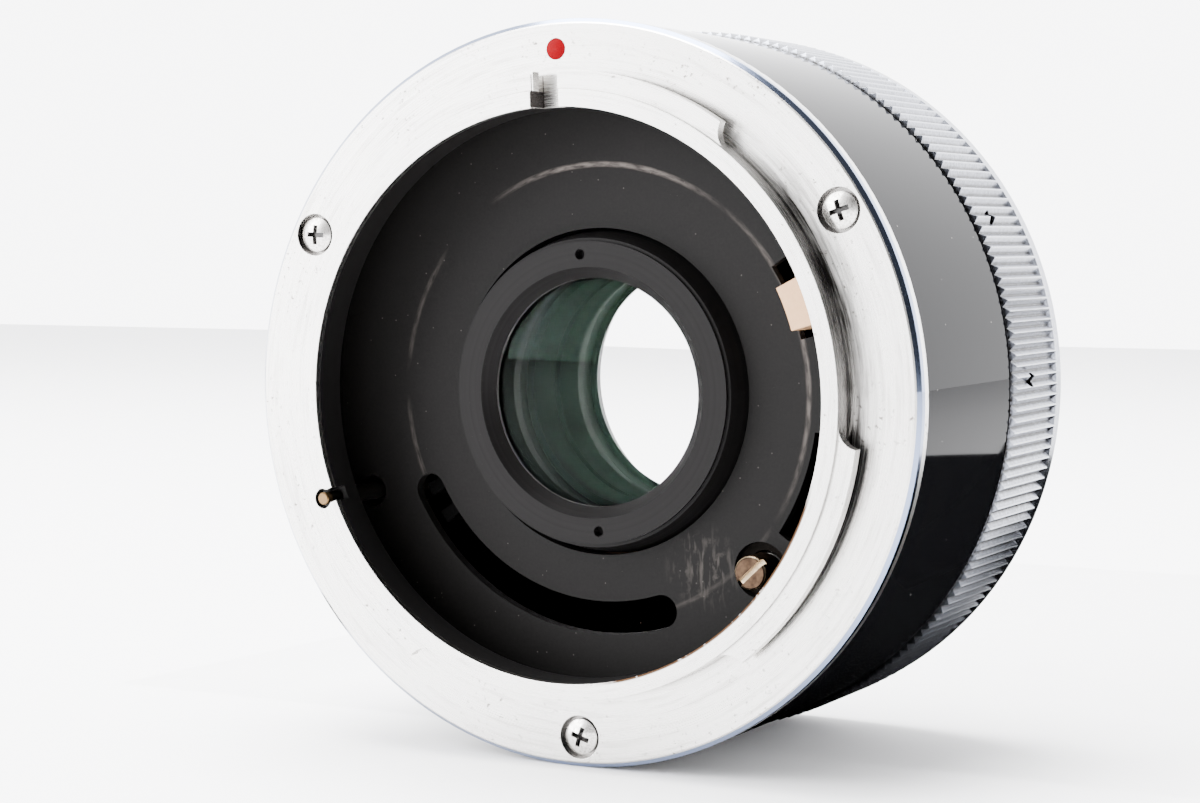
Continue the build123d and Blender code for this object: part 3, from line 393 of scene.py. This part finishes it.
def coated_glass():
    """Clear glass with a faint green glint; light passes the cemented faces without bending.

    Each polished face takes its direction from its own sphere, since the flat facets of a mesh
    would dent the light that passes.
    """
    material, tree, position = surface("coated_optical_glass")
    radius, along, _ = turned_coordinates(tree, position)
    facing = add(tree, "Bump", {"Strength": 0.0})
    outward = (0.0, 0.0, 0.0)
    for apex, rim in curved_faces:
        sag = (rim - apex) * mm
        sphere_centre = (0.0, apex * mm + (clear_r ** 2 + sag ** 2) / (2 * sag), 0.0)
        on_face = add(tree, "Math", {0: along, 1: (apex + rim) / 2 * mm, 2: abs(sag) / 2 + face_margin},
                      operation="COMPARE")
        away = add(tree, "VectorMath", {0: position, 1: sphere_centre}, operation="SUBTRACT")
        away = add(tree, "VectorMath", {0: away, "Scale": on_face}, operation="SCALE")
        outward = add(tree, "VectorMath", {0: outward, 1: away}, operation="ADD")
    side = add(tree, "VectorMath", {0: outward, 1: facing}, operation="DOT_PRODUCT")
    side = add(tree, "Math", {0: side}, operation="SIGN")
    polished = add(tree, "VectorMath", {0: outward, "Scale": side}, operation="SCALE")
    fallback = add(tree, "VectorMath", {0: facing, "Scale": 0.001 * mm}, operation="SCALE")
    polished = add(tree, "VectorMath", {0: polished, 1: fallback}, operation="ADD")
    polished = add(tree, "VectorMath", {0: polished}, operation="NORMALIZE")
    glass = add(tree, "BsdfPrincipled", {
        "Base Color": linear("#ffffff"), "Roughness": 0.0, "IOR": coated_ior, "Transmission Weight": 1.0,
        "Specular Tint": linear("#143324"), "Normal": polished})
    cement = add(tree, "BsdfTransparent")
    for front, rear in cemented_faces:
        joined = add(tree, "Math", {0: along, 1: (front + rear) / 2, 2: (rear - front) / 2},
                     operation="COMPARE")
        glass = add(tree, "MixShader", {0: joined, 1: glass, 2: cement})
    edge_paint = add(tree, "BsdfPrincipled", {"Base Color": linear("#0a0a0a"), "Roughness": 0.6,
                                              "Specular IOR Level": 0.1})
    edge = add(tree, "Math", {0: radius, 1: glass_r - edge_margin}, operation="GREATER_THAN")
    add(tree, "OutputMaterial", {"Surface": add(tree, "MixShader", {0: edge, 1: glass, 2: edge_paint})})
    return material


optical_glass = coated_glass()
for i in range(1, 7):
    dress(f"lens_element_{i}", optical_glass)


# Snap ring, clip, claws, rear levers, fork and rivets. Steel, pressed or turned, then chemically
# blackened. It looks flat and nearly black.
blackened_steel = plain_finish("blackened_steel", "#040404", "#070707", 0.55, gloss=0.03, ior=1.2)
for name in ("baffle_snap_ring", "carrier_clip", "claw_ring", "signal_rear_lever", "stopdown_rear_lever",
             "stopdown_fork", "signal_rivets"):
    dress(name, blackened_steel)


# Carriers, rod, bush and pin cup. Brass, turned, and browned with age to a dull metal. The bush is
# blackened, so it stays dark in its hole.
aged_brass = plain_finish("aged_brass", "#2c221c", "#453529", 0.45, metallic=1.0)
for name in ("signal_carrier", "stopdown_carrier", "signal_rod", "lock_pin_cup"):
    dress(name, aged_brass)
dress("plunger_bush", plain_finish("blackened_brass", "#0c0a08", "#15110e", 0.55, gloss=0.1, ior=1.2))


# Signal plunger. Brass, turned and slotted. Its head has browned with age, and its slot is still
# bright from the driver.
plunger_axis = Vector((14.606, 0, -15.019)) * mm
plunger_head_y = 5.8 * mm
slot_reach = 1.4 * mm
plunger_stain_size = 0.5 * mm


def browned_plunger_brass():
    """Brown, blotchy metal with a soft sheen, and a bright bare line down in the slot."""
    material, tree, position = surface("browned_plunger_brass")
    along = turned_coordinates(tree, position)[1]
    local = add(tree, "VectorMath", {0: position, 1: plunger_axis}, operation="SUBTRACT")
    local = add(tree, "VectorMath", {0: local, 1: (1, 0, 1)}, operation="MULTIPLY")
    distance = add(tree, "VectorMath", {0: local}, operation="LENGTH")
    inner = add(tree, "Math", {0: distance, 1: slot_reach}, operation="LESS_THAN")
    sunk = add(tree, "MapRange", {0: along, 1: plunger_head_y + 0.05 * mm, 2: plunger_head_y + 0.15 * mm})
    slot = add(tree, "Math", {0: inner, 1: sunk}, operation="MULTIPLY")
    stains = add(tree, "TexNoise", {"Vector": position, "Scale": 1 / plunger_stain_size, "Detail": 4.0})
    stained = add(tree, "MapRange", {0: stains, 1: 0.35, 2: 0.65})
    tint = linear("#2a2019")
    for mask, colour in ((stained, "#45362a"), (slot, "#b29f83")):
        tint = add(tree, "Mix", {"Factor": mask, 6: tint, 7: linear(colour)}, data_type="RGBA")
    shader = add(tree, "BsdfPrincipled", {
        "Base Color": tint, "Metallic": 1.0,
        "Roughness": add(tree, "MapRange", {0: stains, 1: 0.3, 2: 0.7, 3: 0.3, 4: 0.5}),
        "Normal": add(tree, "Bump", {"Height": stains, "Strength": 0.3, "Distance": grain_depth})})
    add(tree, "OutputMaterial", {"Surface": shader})
    return material


dress("signal_screw", browned_plunger_brass())


# Lens lock pin. Brass, turned. Its tip is rubbed bright by the lenses that press it in, and the
# shaft behind is dark.
bright_tip_end = 0.45 * mm
tip_stain_size = 0.3 * mm


def rubbed_tip_brass():
    """Warm bright metal at the tip that turns matt black along the shaft."""
    material, tree, position = surface("rubbed_tip_brass")
    along = turned_coordinates(tree, position)[1]
    stains = add(tree, "TexNoise", {"Vector": position, "Scale": 1 / tip_stain_size, "Detail": 3.0})
    dark = add(tree, "MapRange", {0: along, 1: bright_tip_end, 2: 2 * bright_tip_end})
    tint = linear("#7a6244")
    for mask, colour in ((stains, "#4f3d2b"), (dark, "#0b0a09")):
        tint = add(tree, "Mix", {"Factor": mask, 6: tint, 7: linear(colour)}, data_type="RGBA")
    shader = add(tree, "BsdfPrincipled", {
        "Base Color": tint, "Metallic": add(tree, "MapRange", {0: dark, 3: 1.0, 4: 0.0}),
        "Roughness": 0.4, "Specular IOR Level": 0.05,
        "Normal": add(tree, "Bump", {"Height": stains, "Strength": 0.3, "Distance": grain_depth})})
    add(tree, "OutputMaterial", {"Surface": shader})
    return material


dress("lock_pin", rubbed_tip_brass())


# Springs. Hard-drawn steel wire, wound cold and left bare. Its dull grey skin keeps a soft light
# along the wire.
spring_wire = plain_finish("hard_drawn_spring_wire", "#8d8b87", "#6a6864", 0.35, metallic=1.0)
for name in ("signal_spring", "stopdown_spring", "plunger_spring", "lock_pin_spring"):
    dress(name, spring_wire)


# Signal tab. Tan resin, moulded and riveted to its carrier. It is smooth and a little waxy, with
# no sharp highlight.
tan_resin = plain_finish("moulded_tan_resin", "#c39c76", "#b48b66", 0.5, gloss=0.2)
dress("signal_tab", tan_resin)


# Breech ring. Brass, turned, straight-knurled and plated with satin chrome. Painted shade darkens
# the foot of each groove, and a painted highlight lightens the crests. Its guide screws are sunk
# below the ridges.
ridge_root_r = 31.4 * mm
crest_r = 31.85 * mm
groove_shade_height = 0.2 * mm
plating_grain = 0.3 * mm
ridge_round = 0.07 * mm


def knurled_satin_chrome():
    """Crests with a painted highlight over grooves with painted shade, and a matt plated grain."""
    material, tree, position = surface("knurled_satin_chrome")
    radius = turned_coordinates(tree, position)[0]
    grains = add(tree, "TexNoise", {"Vector": position, "Scale": 1 / plating_grain, "Detail": 4.0})
    blotches = add(tree, "MapRange", {0: grains, 1: 0.35, 2: 0.65})
    # Painted highlight on the crests of the ridges.
    crest_highlight = add(tree, "MapRange", {0: radius, 1: crest_r - 0.12 * mm, 2: crest_r - 0.03 * mm})
    # Painted shade at the foot of each groove, broken up by the grain.
    groove_shade = add(tree, "MapRange", {0: radius, 1: ridge_root_r + hairline, 2: ridge_root_r + groove_shade_height,
                                    3: 1.0, 4: 0.0})
    outside = add(tree, "MapRange", {0: radius, 1: ridge_root_r - 0.6 * mm, 2: ridge_root_r - 0.5 * mm})
    for mask in (outside, add(tree, "MapRange", {0: grains, 1: 0.3, 2: 0.6, 3: 0.6})):
        groove_shade = add(tree, "Math", {0: groove_shade, 1: mask}, operation="MULTIPLY")
    tint = linear("#83868f")
    for mask, colour in ((blotches, "#63666f"), (crest_highlight, "#a9acb4"), (groove_shade, "#1b1a19")):
        tint = add(tree, "Mix", {"Factor": mask, 6: tint, 7: linear(colour)}, data_type="RGBA")
    softened = add(tree, "Bevel", {"Radius": ridge_round}, samples=4)
    shader = add(tree, "BsdfPrincipled", {
        "Base Color": tint, "Metallic": 1.0, "Roughness": 0.26,
        "Normal": add(tree, "Bump", {"Height": grains, "Strength": 0.2, "Distance": grain_depth,
                                     "Normal": softened})})
    add(tree, "OutputMaterial", {"Surface": shader})
    return material


dress("breech_ring", knurled_satin_chrome())
dress("ring_screws", plain_steel)


# Camera-side seat and spigot. Brass, turned with its flange in one piece and plated with the same
# satin chrome as the lens side.
dress("rear_mount", mount_chrome)


# Stand: a pale seamless floor that the part lies on, touching the flange and the knurled ring.
# Two black cards behind the part show only in reflections. They are painted dark reflections,
# which darken the lower enamel and knurl.
photo_roll = math.radians(2.2)
stand = Matrix.Rotation(photo_roll, 4, "Y")
rest_front = Vector((0, 2.7 * mm, -31.4 * mm))
rest_rear = Vector((0, 24.15 * mm, -31.85 * mm))
floor_slope = math.atan2(rest_rear.z - rest_front.z, rest_rear.y - rest_front.y)
floor_reach = 1.5
card_left, card_right = -60 * mm, 160 * mm
card_near, card_far = 14 * mm, 170 * mm
card_lift = 0.05 * mm
wall_left, wall_right = 30 * mm, 39.5 * mm
wall_low, wall_top = -32 * mm, -9.2 * mm
wall_y = 50 * mm


def flat_sheet(name, corners, place, material):
    """Flat sheet with four corners, set at its place in the scene."""
    mesh = bpy.data.meshes.new(name)
    mesh.from_pydata(corners, [], [(0, 1, 2, 3)])
    mesh.materials.append(material)
    sheet = bpy.data.objects.new(name, mesh)
    bpy.context.scene.collection.objects.link(sheet)
    sheet.matrix_world = place
    return sheet


on_floor = stand @ Matrix.Translation(rest_front) @ Matrix.Rotation(floor_slope, 4, "X")
floor_corners = [(-floor_reach, -floor_reach, 0), (floor_reach, -floor_reach, 0),
                 (floor_reach, floor_reach, 0), (-floor_reach, floor_reach, 0)]
floor = flat_sheet("floor", floor_corners, on_floor,
                   plain_finish("pale_floor", "#fafafb", "#f7f7f8", 0.6, grain=5 * mm))

dark_reflection_black = plain_finish("dark_reflection_black", "#050505", "#040404", 0.9, gloss=0.0)
card_corners = [(card_left, card_near, card_lift), (card_right, card_near, card_lift),
                (card_right, card_far, card_lift), (card_left, card_far, card_lift)]
card = flat_sheet("black_card", card_corners, on_floor, dark_reflection_black)
wall_corners = [(wall_left, wall_y, wall_low), (wall_right, wall_y, wall_low),
                (wall_right, wall_y, wall_top), (wall_left, wall_y, wall_top)]
wall_card = flat_sheet("black_wall", wall_corners, stand, dark_reflection_black)
# The cards cast no shadow and light nothing: they only paint dark reflections.
for sheet in (card, wall_card):
    for ray in ("camera", "diffuse", "shadow", "transmission"):
        setattr(sheet, "visible_" + ray, False)


# Lights: a white tent, dimmer towards the front and open on the right, with a wide soft box in
# front on the left and one overhead. Each side of the tent has its direction, the span over which
# its brightness changes, and the brightness before and after.
tent_sides = (((0.5, -0.866, 0.0), 0.42, 0.78, 8.0, 1.6), ((0.68, -0.45, 0.58), 0.72, 0.8, 1.0, 0.06),
              ((0.0, 0.0, 1.0), 0.35, 0.8, 1.0, 0.55), ((-0.75, -0.66, 0.0), 0.88, 0.99, 1.0, 2.6))
part_centre = Vector((0, 0.015, 0))


def soft_box(name, place, side, power):
    """Square light of the given side that faces the part."""
    light = bpy.data.lights.new(name, "AREA")
    light.shape = "SQUARE"
    light.size = side
    light.energy = power
    lamp = bpy.data.objects.new(name, light)
    bpy.context.scene.collection.objects.link(lamp)
    toward = part_centre - Vector(place)
    lamp.matrix_world = stand @ Matrix.LocRotScale(Vector(place), toward.to_track_quat("-Z", "Y"), None)


soft_box("front_left_box", (-0.6, -0.6, 0.6), 0.7, 18)
soft_box("overhead_box", (-0.15, 0.1, 0.8), 0.6, 38)

world = bpy.data.worlds.new("studio")
world.use_nodes = True
tent = world.node_tree
tent.nodes.clear()
direction = add(tent, "TexCoord")
brightness = 1.0
for side, start, end, before, after in tent_sides:
    toward = add(tent, "VectorMath", {0: direction, 1: side}, operation="DOT_PRODUCT")
    change = add(tent, "MapRange", {0: toward, 1: start, 2: end, 3: before, 4: after})
    brightness = add(tent, "Math", {0: brightness, 1: change}, operation="MULTIPLY")
sky = add(tent, "Background", {"Color": linear("#fafafc"), "Strength": brightness})
add(tent, "OutputWorld", {"Surface": sky})
bpy.context.scene.world = world


# Camera at the photograph's place: a long lens close to the part, a little above the axis.
photo_width = 1200
focal_px = 2500
sensor_width = 36.0
camera_place = Vector((101.62, -180.40, 13.24)) * mm
yaw = math.radians(-28.35)
pitch = math.radians(3.76)

camera_data = bpy.data.cameras.new("camera")
camera_data.sensor_width = sensor_width
camera_data.lens = sensor_width * focal_px / photo_width
camera_data.clip_start = 1 * mm
camera = bpy.data.objects.new("camera", camera_data)
bpy.context.scene.collection.objects.link(camera)
ahead = Vector((math.sin(yaw) * math.cos(pitch), math.cos(yaw) * math.cos(pitch), -math.sin(pitch)))
right = Vector((math.cos(yaw), -math.sin(yaw), 0))
axes = Matrix((right, right.cross(ahead), -ahead)).transposed().to_4x4()
camera.matrix_world = stand @ Matrix.Translation(camera_place) @ axes
bpy.context.scene.camera = camera
